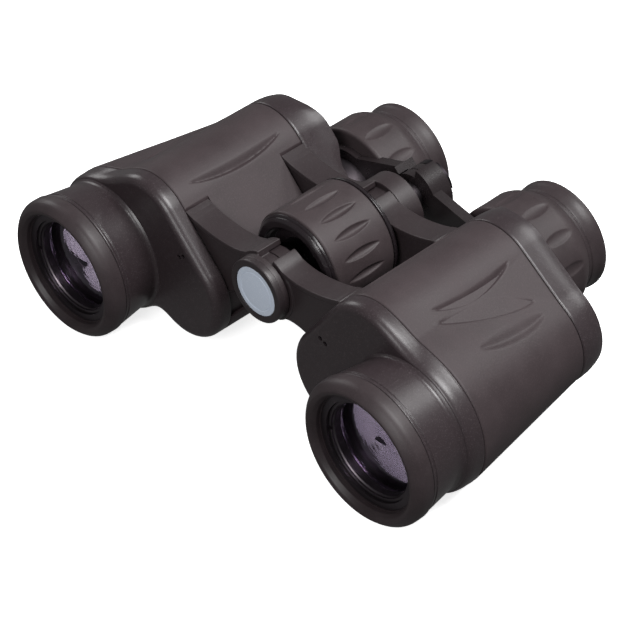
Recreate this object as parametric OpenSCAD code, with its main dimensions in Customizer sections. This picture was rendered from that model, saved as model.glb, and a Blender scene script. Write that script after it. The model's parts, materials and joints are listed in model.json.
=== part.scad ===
// Porro-prism binoculars: two barrels folding on a centre hinge, centre focus wheel,
// sliding eyepiece bridge and a dioptre adjustment on the right eyepiece.
// Working frame of the modules: x to the right barrel, y from the objective rims to the
// eyecups, z up from the objective axes. place() moves it to the part's own frame.

/* [Overall] */
// Distance between the two objective axes
objective_spacing = 127.6; // [104:0.2:156]
// Distance between the two eyepiece axes at rest
eye_spacing = 65; // [54:0.5:78]
// Height of the hinge axis above the objective axes
hinge_rise = 12.2; // [10:0.1:15]

/* [Objectives] */
// Outer radius of the objective rim ring
objective_ring_r = 22.9; // [20.8:0.1:27.5]
// Length of the objective rim ring
objective_ring_len = 6.6; // [5.5:0.1:8]
// Radius of the objective lens
objective_lens_r = 15.8; // [13.2:0.1:16.2]
// Wall of the objective cell
objective_cell_wall = 2; // [1.6:0.1:2.2]
// Length of the objective tube ahead of the front cover
objective_tube_len = 13.4; // [11:0.1:17]
// Outer radius of the objective tube where it meets the front cover
objective_tube_r = 20.9; // [20.8:0.1:22]

/* [Housings] */
// Radius of the rounded prism lobes over the armour
lobe_r = 16.2; // [15.2:0.1:17.5]
// Radius of the body round the objective, at the front seam
shoulder_r = 22.7; // [21.5:0.1:22.8]
// Thickness of the rubber armour
armour_t = 1.2; // [1:0.1:1.5]
// Wall of the metal housing under the armour
housing_wall = 2; // [1.6:0.1:2.4]
// Thickness of the front and rear cover plates
cover_t = 2.5; // [2:0.1:3]
// Depth of the front cover's rounded band
front_band = 6; // [5:0.1:7.2]
// Depth of the rear cover's rounded band
rear_band = 9.3; // [8:0.1:11.2]

/* [Prisms] */
// Width of a prism's working face
prism_face = 19; // [15.8:0.2:20]
// Thickness of the shelf that carries both prisms
shelf_t = 3; // [2.5:0.1:3.6]
// Free depth behind the rear prism
rear_space = 11.2; // [9.3:0.1:13.5]

/* [Hinge] */
// Width of each hinge arm along the barrels
arm_w = 8.8; // [7.6:0.1:10.6]
// Outer radius of the arms where they wrap round the hinge
wrap_r = 11.3; // [10.8:0.1:12.5]
// Radius of the hinge knuckles inside the wraps
knuckle_r = 9; // [8:0.1:9.2]
// How far the trough on top of each arm dips
arm_sag = 4.1; // [3.4:0.1:4.8]
// Thickness of the flange along the top of each arm
arm_flange = 1.6; // [1.3:0.1:2]
// How far each arm's web stands back from its flange
web_step = 0.7; // [0.5:0.1:0.9]
// Radius of the front hinge pin
hinge_pin_r = 4; // [3.3:0.1:4.8]
// Radius of the rear hinge bush
hinge_bush_r = 7; // [6.4:0.1:7.6]

/* [Focus] */
// Outer radius of the focus wheel's grip
wheel_r = 17.2; // [14.3:0.1:18.4]
// Width of the focus wheel
wheel_w = 26.4; // [22:0.1:26.8]
// Number of grip flutes round the focus wheel
wheel_flutes = 16; // [13:1:20]
// Radius of the focus spindle
spindle_r = 4.6; // [3.9:0.1:5.4]
// How far the bridge may move forward from rest
focus_in = 3; // [2.5:0.1:3.4]
// Thickness of each bridge arm
bridge_t = 3.5; // [3:0.1:4.2]
// Radius of the bridge arms where they wrap round the spindle
bridge_wrap_r = 10; // [9.4:0.1:12]

/* [Eyepieces] */
// Outer radius of the eyepiece ring
eye_ring_r = 20.1; // [18.5:0.1:21]
// Length of the eyepiece ring
eye_ring_len = 17; // [15:0.1:20]
// Outer radius of the sliding eyepiece tube
eye_tube_r = 11.4; // [9.5:0.1:11.4]
// Wall of the sliding eyepiece tube
eye_tube_wall = 1; // [0.8:0.1:1.2]
// Outer radius of the eyecup's rim
eyecup_r = 17.9; // [17.5:0.1:19]
// Length of the eyecup behind the eyepiece ring
eyecup_len = 7.3; // [6.1:0.1:8.8]
// Radius of the eye lens
eye_lens_r = 8.8; // [7.3:0.1:9.2]
// How far the dioptre adjustment moves each way
dioptre_travel = 1.5; // [1.2:0.1:1.8]

/* [Fits] */
// Radial clearance of a running fit
run_gap = 0.05; // [0.03:0.01:0.08]
// Clearance between pieces fixed to each other
seat_gap = 0.05; // [0.03:0.01:0.08]
// Clearance between neighbouring moving pieces
side_gap = 0.3; // [0.25:0.05:0.5]

/* [Hidden] */
$fn = 72;

// Resting height: rims and eyepiece rings stand on the same plane
eye_drop = objective_ring_r - eye_ring_r;
ground = objective_ring_r;

// Axis places in the working frame, for the right barrel, as [x, z]
objective_at = [objective_spacing / 2, 0];
eye_at = [eye_spacing / 2, -eye_drop];
hinge_at = [0, hinge_rise];

// The two prisms step the light sideways by equal, square steps
step = eye_at - objective_at;
step_len = norm(step) / sqrt(2);
step_angle = atan2(step[1], step[0]);
mid_at = objective_at + step_len * [cos(step_angle - 45), sin(step_angle - 45)];
prism_hyp = step_len + prism_face;
prism_h = prism_hyp / 2;
prism_tip_flat = 2;

// Stations along y
tube_front_y = objective_ring_len;
plate_y = tube_front_y + objective_tube_len;
front_seam_y = plate_y + front_band;
clip_t = 0.8;
prism_room = 1.1;
shelf_y = plate_y + cover_t + prism_room + clip_t + prism_h;
shelf_end_y = shelf_y + shelf_t;
rear_face_y = shelf_end_y + prism_h + rear_space;
cover_end_y = rear_face_y + cover_t;
rear_seam_y = cover_end_y - rear_band;
front_arm_y = front_seam_y;
rear_arm_y = rear_seam_y - arm_w;
boss_y = front_seam_y - 2;
cap_t = 2;
rear_sleeve_end_y = rear_arm_y + arm_w + 7;
bush_flange_t = 1.2;
arm_span = rear_arm_y - front_arm_y - arm_w;
wheel_y = front_arm_y + arm_w + (arm_span - wheel_w) / 2 + 0.7;
washer_t = 0.8;
nut_end_y = min(rear_arm_y - washer_t - side_gap, wheel_y + wheel_w + 1);
clip_end_y = shelf_end_y + prism_h - prism_tip_flat / 2 + clip_t;
guide_from_y = clip_end_y + focus_in + side_gap;
right_bar_y = cover_end_y + focus_in + 0.5;
left_bar_y = right_bar_y + bridge_t + side_gap;
bar_end_y = left_bar_y + bridge_t;
ring_y = bar_end_y - bridge_t + dioptre_travel + 0.9;
ring_end_y = ring_y + eye_ring_len;
total_len = ring_end_y + eyecup_len;

// Radii that follow from their neighbours
shell_r = lobe_r - armour_t;
cavity_r = shell_r - housing_wall;
cone_end_r = lobe_r + 0.1;
cell_r = objective_lens_r + seat_gap + objective_cell_wall;
cell_bore_r = cell_r + seat_gap;
tube_mouth_r = objective_ring_r - 0.3;
spigot_r = objective_ring_r - 2.5;
retainer_r = objective_lens_r - 1.5;
barrel_r = eye_tube_r - eye_tube_wall - run_gap;
barrel_flange_r = eye_tube_r + 2.4;
guide_wall = cavity_r - seat_gap - eye_tube_r - run_gap;
ledge = 1.2;
bridge_knuckle_r = bridge_wrap_r - 2.8;
shaft_tail_r = hinge_pin_r - 0.5;
black = [0.10, 0.10, 0.11];
rubber_black = [0.14, 0.13, 0.14];

module place() { translate([0, -total_len / 2, ground]) children(); }

// Runs a flat outline, drawn as [x, z], from one y station to another
module along_y(from, to) {
  translate([0, to, 0]) rotate([90, 0, 0]) linear_extrude(to - from) children();
}

// Turns a profile of [radius, y] points about an axis parallel to y
module turned(at, points) {
  translate([at[0], 0, at[1]]) rotate([-90, 0, 0]) rotate_extrude() polygon(points);
}

module rod(at, from, to, r, r_end = 0) {
  translate([at[0], from, at[1]]) rotate([-90, 0, 0])
    cylinder(h = to - from, r1 = r, r2 = r_end == 0 ? r : r_end);
}

module tube(at, from, to, r, bore) {
  difference() {
    rod(at, from, to, r);
    rod(at, from - 1, to + 1, bore);
  }
}

// Draws the right-hand piece, or its mirror image on the left
module side(s) { mirror([s < 0 ? 1 : 0, 0, 0]) children(); }

// Flat outline with round ends between two points
module slab(p, q, r) {
  d = q - p;
  translate(p) circle(r);
  translate(q) circle(r);
  translate(p) rotate(atan2(d[1], d[0])) translate([0, -r]) square([norm(d), 2 * r]);
}

module rear_outline(r) { slab(objective_at, mid_at, r); }
module front_outline(r) { slab(mid_at, eye_at, r); }

// Outer form of the housing grown or shrunk by an amount, between two stations
module body_form(grow, from, to) {
  along_y(from, to) {
    rear_outline(lobe_r + grow);
    front_outline(lobe_r + grow);
  }
  slope = (cone_end_r - shoulder_r) / (rear_seam_y - front_seam_y);
  rod(objective_at, from, to, shoulder_r + grow + slope * (from - front_seam_y),
      shoulder_r + grow + slope * (to - front_seam_y));
}

// ---- Hinge arms ----

module wedge(from, to, r) {
  intersection() {
    translate(hinge_at) circle(r);
    translate(hinge_at)
      polygon(concat([[0, 0]], [for (k = [0:6]) 3 * r * [cos(from + (to - from) * k / 6),
                                                        sin(from + (to - from) * k / 6)]]));
  }
}

arm_from_x = 2;
arm_to_x = mid_at[0] - lobe_r + 2.6;
arm_top_z = hinge_rise + wrap_r;
dip_x = arm_from_x + 0.42 * (arm_to_x - arm_from_x);
dip_z = arm_top_z - arm_sag;
rise_out = arm_sag - 0.7;
function arc_r(chord, rise) = (chord * chord + rise * rise) / (2 * rise);
dip_in_r = arc_r(dip_x - arm_from_x, arm_sag);
dip_out_r = arc_r(arm_to_x - dip_x, rise_out);
arch_r = 15.4;
arch_top_z = hinge_rise - knuckle_r + 0.2;
arch_x = 9.5;
open_below = 68;

// Space over the arms: a steep arc towards the hinge and a flat one towards the barrel
module trough(drop) {
  translate([dip_x, dip_z - drop]) {
    intersection() {
      translate([0, dip_in_r]) circle(dip_in_r);
      translate([-2 * dip_in_r, -1]) square([2 * dip_in_r, 3 * dip_in_r]);
    }
    intersection() {
      translate([0, dip_out_r]) circle(dip_out_r);
      translate([0, -1]) square([2 * dip_out_r, 3 * dip_out_r]);
    }
  }
}

// Area of an arm's web that stands back from its flange and its wrap
module web_outline() {
  difference() {
    translate([0, -eye_drop - 5]) square([arm_to_x + 1, dip_z + rise_out + eye_drop + 5]);
    trough(arm_flange);
    translate(hinge_at) circle(wrap_r);
  }
}

// Arm seen from the front: trough on top, arch below, wrap round the hinge
module arm_outline(open_above) {
  difference() {
    translate([6, -eye_drop - 4]) square([arm_to_x - 6, arm_top_z + eye_drop + 4]);
    trough(0);
    translate([arch_x, arch_top_z - arch_r]) circle(arch_r);
    translate([0, -eye_drop - 10]) square([eye_at[0] - shell_r + 1, 10 + arch_top_z - 3.2 + eye_drop]);
  }
  wedge(-open_below, open_above, wrap_r);
}

module own_arm(open_above, from, to) {
  along_y(from, to) {
    arm_outline(open_above);
    translate(hinge_at) circle(knuckle_r);
  }
}

module other_arm(open_above, from, to) {
  along_y(from, to) difference() {
    arm_outline(open_above);
    translate(hinge_at) circle(knuckle_r + side_gap + 0.1);
  }
}

split_front_y = front_arm_y + arm_w / 2;
split_rear_y = rear_arm_y + arm_w / 2;
left_open = 80;
right_open = 69;

// Steps the webs back on both sides of the front arm and in front of the rear arm
module stepped_webs() {
  difference() {
    children();
    for (y = [front_arm_y - 1, rear_arm_y - 1]) along_y(y, y + 1 + web_step) web_outline();
    along_y(front_arm_y + arm_w - web_step, front_arm_y + arm_w + 1) web_outline();
  }
}

module left_arms() {
  stepped_webs() {
    own_arm(left_open, front_arm_y, split_front_y - side_gap / 2);
    other_arm(left_open, split_front_y - side_gap / 2, front_arm_y + arm_w);
    own_arm(left_open, rear_arm_y, split_rear_y - side_gap / 2);
    other_arm(left_open, split_rear_y - side_gap / 2, rear_arm_y + arm_w);
  }
  rod(hinge_at, boss_y, front_arm_y, wrap_r - 1);
}

module right_arms() {
  stepped_webs() {
    other_arm(right_open, front_arm_y + side_gap, split_front_y + side_gap / 2);
    own_arm(right_open, split_front_y + side_gap / 2, front_arm_y + arm_w);
    other_arm(right_open, rear_arm_y, split_rear_y + side_gap / 2);
    own_arm(right_open, split_rear_y + side_gap / 2, rear_arm_y + arm_w);
  }
  rod(hinge_at, rear_arm_y + arm_w - 0.1, rear_arm_y + arm_w + side_gap, knuckle_r);
  rod(hinge_at, rear_arm_y + arm_w + side_gap, rear_sleeve_end_y, wrap_r - 0.3);
}

// ---- Housings ----

module housing_body() {
  cover_posts();
  difference() {
    union() {
      body_form(-armour_t, front_seam_y, rear_seam_y);
      children();
    }
    difference() {
      body_form(-armour_t - housing_wall, front_seam_y - 1, rear_seam_y + 1);
      // ledge that the prism shelf sits against
      along_y(shelf_y - 2, shelf_y) difference() {
        union() {
          rear_outline(lobe_r);
          front_outline(lobe_r);
        }
        rear_outline(cavity_r - ledge);
        front_outline(cavity_r - ledge);
      }
    }
  }
}

module left_housing() {
  color(black) place() difference() {
    side(-1) housing_body() left_arms();
    rod(hinge_at, boss_y - 1, split_front_y + 1, hinge_pin_r + seat_gap);
    rod(hinge_at, boss_y - 1, boss_y + 2, hinge_pin_r + 2.6);
    rod(hinge_at, rear_arm_y - 1, split_rear_y + 1, hinge_bush_r + seat_gap);
  }
}

module right_housing() {
  color(black) place() difference() {
    housing_body() right_arms();
    rod(hinge_at, split_front_y - 1, front_arm_y + arm_w + 1, hinge_pin_r + run_gap);
    rod(hinge_at, split_rear_y - 1, rear_sleeve_end_y + 1, hinge_bush_r + run_gap);
  }
}

module armour(s) {
  color(rubber_black) place() side(s) difference() {
    body_form(0, front_seam_y, rear_seam_y);
    body_form(seat_gap - armour_t, front_seam_y - 1, rear_seam_y + 1);
    for (y = [front_arm_y - 1, rear_arm_y - side_gap])
      translate([0, y, -eye_drop - 5])
        cube([arm_to_x + side_gap, arm_w + 1 + side_gap, arm_top_z + eye_drop + 7]);
  }
}

module left_armour() { armour(-1); }
module right_armour() { armour(1); }

// ---- Covers ----

module cover_outline(grow, round_r) {
  rear_outline(lobe_r + grow);
  front_outline(lobe_r + grow);
  translate(objective_at) circle(round_r + grow);
}

module front_cover(s) {
  color(black) place() side(s) difference() {
    union() {
      along_y(plate_y, plate_y + 0.9) cover_outline(-1.1, shoulder_r);
      along_y(plate_y + 0.9, plate_y + 2.2) cover_outline(-0.4, shoulder_r);
      along_y(plate_y + 2.2, front_seam_y) cover_outline(0, shoulder_r);
      rod(objective_at, tube_front_y, plate_y, tube_mouth_r, objective_tube_r);
      rod(objective_at, tube_front_y - 3.4, tube_front_y, spigot_r);
    }
    along_y(plate_y + cover_t, front_seam_y + 1) {
      cover_outline(-armour_t - housing_wall, shoulder_r);
    }
    rod(objective_at, 0, front_seam_y, cell_bore_r);
    adjusting_holes();
  }
}

module left_front_cover() { front_cover(-1); }
module right_front_cover() { front_cover(1); }

// A pair of small screws beside the front prism, near its middle
adjust_r = 0.7;
adjust_pitch = 1.9;
adjust_out = prism_face / 2 + 1.3;
adjust_along = 13;
front_way = (eye_at - mid_at) / norm(eye_at - mid_at);
adjust_at = mid_at + adjust_along * front_way + adjust_out * [front_way[1], -front_way[0]];

module adjusting_places() {
  for (k = [-0.5, 0.5])
    translate([adjust_at[0] + k * adjust_pitch, 0, adjust_at[1] - k * adjust_pitch / 2]) children();
}

module adjusting_holes() {
  adjusting_places() rod([0, 0], plate_y - 1, plate_y + cover_t + 1, adjust_r + seat_gap);
}

lug_at = [objective_at[0] - 2, -lobe_r - 1.6];
lug_size = [3.4, 8.6, 5.6];

module strap_lug() {
  difference() {
    translate([lug_at[0] - lug_size[0] / 2, cover_end_y - lug_size[1], lug_at[1] - lug_size[2] / 2])
      cube(lug_size);
    translate([lug_at[0] - lug_size[0], cover_end_y - lug_size[1] + 1.6, lug_at[1] - 1.6])
      cube([2 * lug_size[0], lug_size[1] - 3.2, 2.6]);
  }
}

module rear_cover(s) {
  color(black) place() side(s) difference() {
    union() {
      along_y(rear_seam_y, cover_end_y - 2.2) cover_outline(0, cone_end_r);
      along_y(cover_end_y - 2.2, cover_end_y - 0.9) cover_outline(-0.4, cone_end_r);
      along_y(cover_end_y - 0.9, cover_end_y) cover_outline(-1.1, cone_end_r);
      strap_lug();
    }
    difference() {
      along_y(rear_seam_y - 1, rear_face_y) cover_outline(-armour_t - housing_wall, cone_end_r);
      rod(eye_at, guide_from_y, cover_end_y, eye_tube_r + run_gap + guide_wall);
    }
    rod(eye_at, guide_from_y - 1, cover_end_y + 1, eye_tube_r + run_gap);
    screw_places() screw_hole();
  }
}

module left_rear_cover() {
  rear_cover(-1);
  color(black) place() side(-1) guide_tube();
}
module right_rear_cover() {
  rear_cover(1);
  color(black) place() guide_tube();
}

// Part of the eyepiece guide that stands forward of the cover plate
module guide_tube() {
  tube(eye_at, guide_from_y, rear_face_y + 0.2, eye_tube_r + run_gap + guide_wall,
       eye_tube_r + run_gap);
}

screw_r = 1.2;
screw_head_r = 2.2;
post_r = 2.4;
post_reach = cavity_r - post_r - 0.2;
function polar(r, a) = r * [cos(a), sin(a)];
module screw_places() {
  for (p = [objective_at + polar(post_reach, -50), objective_at + polar(post_reach, 50),
            mid_at + polar(post_reach, 110)])
    translate([p[0], 0, p[1]]) children();
}

// Posts inside the housing that take the rear cover's screws
module cover_posts() {
  screw_places() difference() {
    union() {
      rod([0, 0], rear_seam_y - 3.5, rear_face_y, post_r);
      rod([0, 0], rear_seam_y - 3.5, rear_seam_y, post_r + 0.6);
    }
    rod([0, 0], rear_seam_y - 2, rear_face_y + 1, screw_r + seat_gap);
  }
}
module screw_hole() {
  rod([0, 0], rear_face_y - 1, cover_end_y + 1, screw_r + seat_gap);
  rod([0, 0], cover_end_y - 1.3, cover_end_y + 1, screw_head_r + seat_gap);
}
module cover_screws(s) {
  color("dimgray") place() side(s) screw_places() difference() {
    union() {
      rod([0, 0], rear_seam_y - 1, cover_end_y - 1.3, screw_r);
      rod([0, 0], cover_end_y - 1.3, cover_end_y - 0.2, screw_head_r);
    }
    for (a = [0, 90]) rotate([0, a, 0])
      translate([-1.5, cover_end_y - 0.9, -0.3]) cube([3, 2, 0.6]);
  }
}
module left_cover_screws() { cover_screws(-1); }
module right_cover_screws() { cover_screws(1); }

module adjusting_screws(s) {
  color("dimgray") place() side(s) adjusting_places() difference() {
    rod([0, 0], plate_y + 0.4, plate_y + cover_t + 0.4, adjust_r);
    translate([-adjust_r - 1, plate_y - 1, -0.15]) cube([2 * adjust_r + 2, 1.8, 0.3]);
  }
}
module left_adjusting_screws() { adjusting_screws(-1); }
module right_adjusting_screws() { adjusting_screws(1); }

// ---- Objectives ----

lip_y = 1.9;
retainer_y = 4.2;
lens_y = retainer_y + 3.5;
lens_rim = 5.5;
cell_end_y = front_seam_y - 3;

module objective_ring(s) {
  color(rubber_black) place() side(s) turned(objective_at, [
    [cell_r + 0.35, lip_y], [cell_r + 1.3, 0.5], [cell_r + 2.2, 0],
    [objective_ring_r - 2, 0], [objective_ring_r - 0.6, 0.6], [objective_ring_r, 2],
    [objective_ring_r, objective_ring_len - 0.6], [objective_ring_r - 0.4, objective_ring_len],
    [spigot_r + seat_gap, objective_ring_len], [spigot_r + seat_gap, tube_front_y - 3.4],
    [cell_r + 0.35, tube_front_y - 3.4]
  ]);
}
module left_objective_ring() { objective_ring(-1); }
module right_objective_ring() { objective_ring(1); }

module objective_cell(s) {
  color(black) place() side(s) difference() {
    rod(objective_at, retainer_y - 0.8, cell_end_y, cell_r);
    rod(objective_at, 0, lens_y + lens_rim, objective_lens_r + seat_gap);
    rod(objective_at, lens_y, cell_end_y + 1, objective_lens_r - 1.2);
  }
}
module left_objective_cell() { objective_cell(-1); }
module right_objective_cell() { objective_cell(1); }

// Cemented doublet: front face bulges forward by the sagitta of its radius
front_curve = 60;
back_curve = 160;
function sag(curve, r) = curve - sqrt(curve * curve - r * r);
module objective_lens(s) {
  steps = 8;
  color([0.55, 0.5, 0.75, 0.5]) place() side(s) turned(objective_at, concat(
    [[0, lens_y + lens_rim - sag(back_curve, objective_lens_r - 1.2)]],
    [[objective_lens_r, lens_y + lens_rim]],
    [[objective_lens_r, lens_y]],
    [for (k = [steps:-1:0]) let (r = k / steps * retainer_r)
      [r, lens_y - sag(front_curve, retainer_r) + sag(front_curve, r)]]
  ));
}
module left_objective_lens() { objective_lens(-1); }
module right_objective_lens() { objective_lens(1); }

module retaining_ring(s) {
  color(black) place() side(s) difference() {
    turned(objective_at, [[retainer_r + 0.2, lens_y], [retainer_r + 0.2, retainer_y + 1],
      [retainer_r + 0.5, retainer_y], [objective_lens_r, retainer_y], [objective_lens_r, lens_y]]);
    for (a = [0, 180]) translate([objective_at[0], 0, 0]) rotate([0, a, 0])
      translate([retainer_r - 1, retainer_y - 1, -0.6]) cube([4, 1.8, 1.2]);
  }
}
module left_retaining_ring() { retaining_ring(-1); }
module right_retaining_ring() { retaining_ring(1); }

// ---- Prisms ----

module prism_windows(r) {
  for (p = [objective_at, mid_at, eye_at]) translate(p) circle(r);
}

module prism_shelf(s) {
  color("dimgray") place() side(s) along_y(shelf_y, shelf_end_y) difference() {
    union() {
      rear_outline(cavity_r - seat_gap);
      front_outline(cavity_r - seat_gap);
    }
    prism_windows(prism_face / 2 - 1);
  }
}
module left_prism_shelf() { prism_shelf(-1); }
module right_prism_shelf() { prism_shelf(1); }

// Right-angle prism lying from p to q with its long face at y, tip towards dir
module prism(p, q, y, dir) {
  d = q - p;
  c = (p + q) / 2;
  intersection() {
    translate([c[0], y, c[1]]) rotate([0, -atan2(d[1], d[0]), 0])
      translate([0, 0, -prism_face / 2]) linear_extrude(prism_face)
        polygon([[-prism_hyp / 2, 0], [prism_hyp / 2, 0],
                 [prism_tip_flat / 2, dir * (prism_h - prism_tip_flat / 2)],
                 [-prism_tip_flat / 2, dir * (prism_h - prism_tip_flat / 2)]]);
    along_y(y - 2 * prism_h, y + 2 * prism_h) slab(p, q, cavity_r - ledge - 0.5);
  }
}
module front_prism(s) {
  color([0.8, 0.9, 0.95, 0.5]) place() side(s) prism(mid_at, eye_at, shelf_y, -1);
}
module rear_prism(s) {
  color([0.8, 0.9, 0.95, 0.5]) place() side(s) prism(objective_at, mid_at, shelf_end_y, 1);
}
module left_front_prism() { front_prism(-1); }
module right_front_prism() { front_prism(1); }
module left_rear_prism() { rear_prism(-1); }
module right_rear_prism() { rear_prism(1); }

// Spring strap over the tip of a prism, with a leg down each side to the shelf
module clip(p, q, y, dir) {
  d = q - p;
  c = (p + q) / 2;
  h = prism_h - prism_tip_flat / 2;
  half = prism_face / 2;
  translate([c[0], y, c[1]]) rotate([0, -atan2(d[1], d[0]), 0]) towards(dir) {
    translate([-3, h, -half - clip_t - seat_gap])
      cube([6, clip_t, 2 * (half + clip_t + seat_gap)]);
    for (z = [-half - clip_t - seat_gap, half + seat_gap])
      translate([-3, 0, z]) cube([6, h, clip_t]);
  }
}
module towards(dir) { mirror([0, dir < 0 ? 1 : 0, 0]) children(); }
module prism_clips(s) {
  color("silver") place() side(s) {
    clip(mid_at, eye_at, shelf_y, -1);
    clip(objective_at, mid_at, shelf_end_y, 1);
  }
}
module left_prism_clips() { prism_clips(-1); }
module right_prism_clips() { prism_clips(1); }

// ---- Eyepieces ----

tube_from_y = guide_from_y;
tube_to_y = ring_y + 8;
flange_y = ring_end_y - 5;
flange_t = 3;
module eye_tube(s) {
  color(black) place() side(s)
    tube(eye_at, tube_from_y, tube_to_y, eye_tube_r, eye_tube_r - eye_tube_wall);
}
module left_eye_tube() { eye_tube(-1); }
module right_eye_tube() { eye_tube(1); }

field_lens_r = barrel_r - 1.1;
field_lens_y = tube_from_y + 6;
field_lens_t = 5;
barrel_bore_r = field_lens_r - 1.25;
// The eye lens sits in a head that clears the eye tube at either end of the dioptre travel
head_y = tube_to_y + dioptre_travel + side_gap;
head_r = max(barrel_r, eye_lens_r + 0.8);
eye_lens_y = head_y + 0.4;
eye_lens_t = flange_y + flange_t - eye_lens_y;
module lens_barrel(s) {
  color("dimgray") place() side(s) difference() {
    union() {
      rod(eye_at, tube_from_y + 4, flange_y + flange_t, barrel_r);
      rod(eye_at, head_y, flange_y + flange_t, head_r);
      rod(eye_at, flange_y, flange_y + flange_t, barrel_flange_r);
    }
    rod(eye_at, tube_from_y, field_lens_y + field_lens_t, field_lens_r + seat_gap);
    rod(eye_at, tube_from_y, flange_y + flange_t + 1, barrel_bore_r);
    rod(eye_at, eye_lens_y, flange_y + flange_t + 1, eye_lens_r + seat_gap);
  }
}
module left_lens_barrel() { lens_barrel(-1); }
module right_lens_barrel() { lens_barrel(1); }

module simple_lens(at, y, t, r, curve) {
  steps = 6;
  turned(at, concat([[0, y]], [[r, y]], [for (k = [steps:-1:0]) let (q = k / steps * r)
    [q, y + t - sag(curve, q)]]));
}
module field_lens(s) {
  color([0.6, 0.7, 0.8, 0.5]) place() side(s)
    simple_lens(eye_at, field_lens_y, field_lens_t, field_lens_r, 30);
}
module eye_lens(s) {
  color([0.6, 0.7, 0.8, 0.5]) place() side(s)
    simple_lens(eye_at, eye_lens_y, eye_lens_t, eye_lens_r, 22);
}
module left_field_lens() { field_lens(-1); }
module right_field_lens() { field_lens(1); }
module left_eye_lens() { eye_lens(-1); }
module right_eye_lens() { eye_lens(1); }

neck_r = eyecup_r - 0.6;
ring_flutes = 12;
ring_wall = 3;
ring_web = 2;
web_bore_r = max(eye_tube_r, head_r) + run_gap;
module eyepiece_ring(s) {
  color(rubber_black) place() side(s) difference() {
    turned(eye_at, [[eye_tube_r + run_gap, ring_y], [eye_ring_r - 0.6, ring_y],
      [eye_ring_r, ring_y + 0.6], [eye_ring_r, ring_end_y - 5], [eye_ring_r - 0.9, ring_end_y - 2.4],
      [neck_r, ring_end_y], [barrel_flange_r - 3.5, ring_end_y],
      [barrel_flange_r - 3.5, flange_y + flange_t + run_gap],
      [barrel_flange_r + run_gap, flange_y + flange_t + run_gap],
      [barrel_flange_r + run_gap, flange_y - run_gap], [web_bore_r, flange_y - run_gap],
      [web_bore_r, flange_y - ring_web], [eye_ring_r - ring_wall, flange_y - ring_web],
      [eye_ring_r - ring_wall, ring_y + ring_web], [eye_tube_r + run_gap, ring_y + ring_web]]);
    for (k = [0:ring_flutes - 1])
      translate([eye_at[0], ring_y + 2.5, eye_at[1]]) rotate([0, (k + 0.5) * 360 / ring_flutes, 0])
        rod([eye_ring_r + 0.9, 0], 0, eye_ring_len - 9, 1.5);
  }
}
module left_eyepiece_ring() { eyepiece_ring(-1); }
module right_dioptre_ring() { eyepiece_ring(1); }

module eyecup(s) {
  color(rubber_black) place() side(s) turned(eye_at, [
    [neck_r, ring_end_y], [neck_r, ring_end_y + 2], [eyecup_r, total_len - 1.5],
    [eyecup_r, total_len - 0.5], [eyecup_r - 0.5, total_len], [eyecup_r - 1.8, total_len],
    [eyecup_r - 2.6, total_len - 1], [neck_r - 2, ring_end_y + 1.4],
    [eye_lens_r + 1.6, ring_end_y + 1.4], [eye_lens_r + 1.6, ring_end_y]
  ]);
}
module left_eyecup() { eyecup(-1); }
module right_eyecup() { eyecup(1); }

// ---- Eyepiece bridge ----

bar_open_left = 46;
bar_open_right = 78;
eyelet_r = eye_tube_r + 3.3;
bar_h = 9;
module bar_outline(open_above) {
  difference() {
    union() {
      wedge(-60, open_above, bridge_wrap_r);
      translate(eye_at) circle(eyelet_r);
      polygon([hinge_at + [6, 5.2], eye_at + [-3, eyelet_r - 1.2], eye_at + [-eyelet_r + 2, 3],
               hinge_at + [6, 5.2 - bar_h - 1.5]]);
    }
    translate(eye_at) circle(eye_tube_r + seat_gap);
  }
}
module bridge_arm(open_above, own_from, other_from) {
  difference() {
    along_y(own_from, own_from + bridge_t) {
      bar_outline(open_above);
      translate(hinge_at) circle(bridge_knuckle_r);
    }
    rod(hinge_at, own_from - 1, own_from + bridge_t + 1, spindle_r + run_gap);
    rod(eye_at, ring_y, ring_end_y, eye_ring_r + side_gap);
  }
  // wrap that covers the other arm's knuckle
  along_y(other_from, other_from + bridge_t + side_gap) difference() {
    wedge(-60, open_above, bridge_wrap_r);
    translate(hinge_at) circle(bridge_knuckle_r + side_gap);
  }
}
module left_bridge_arm() {
  color(black) place() side(-1) bridge_arm(bar_open_left, left_bar_y, right_bar_y);
}
module right_bridge_arm() {
  color(black) place() bridge_arm(bar_open_right, right_bar_y, right_bar_y + bridge_t);
}

spindle_from_y = wheel_y + 8;
module focus_spindle() {
  color("silver") place() rod(hinge_at, spindle_from_y, bar_end_y + 2.6, spindle_r);
}
module spindle_nut() {
  color("dimgray") place() difference() {
    tube(hinge_at, bar_end_y + side_gap, bar_end_y + 2.8, bridge_knuckle_r, spindle_r + seat_gap);
    for (a = [0, 90]) translate([0, 0, hinge_rise]) rotate([0, a, 0])
      translate([-bridge_knuckle_r - 1, bar_end_y + 1.8, -0.8])
        cube([2 * bridge_knuckle_r + 2, 2, 1.6]);
  }
}

// ---- Focus wheel ----

grip_t = 2;
wheel_rim = 2;
flute_margin = 4.7;
nut_r = 8.2;
module focus_wheel_core() {
  core_r = wheel_r - grip_t;
  color(black) place() turned(hinge_at, [
    [nut_r + seat_gap, wheel_y + 4], [core_r - 3, wheel_y + 4], [core_r - 3, wheel_y + 0.8],
    [core_r - 2.2, wheel_y], [wheel_r - 1.6, wheel_y], [wheel_r - 0.7, wheel_y + wheel_rim],
    [core_r, wheel_y + wheel_rim], [core_r, wheel_y + wheel_w - wheel_rim],
    [wheel_r - 0.2, wheel_y + wheel_w - wheel_rim], [wheel_r - 1.2, wheel_y + wheel_w],
    [core_r - 3, wheel_y + wheel_w], [core_r - 3, nut_end_y - 0.5],
    [nut_r + seat_gap, nut_end_y - 0.5]
  ]);
}

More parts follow.
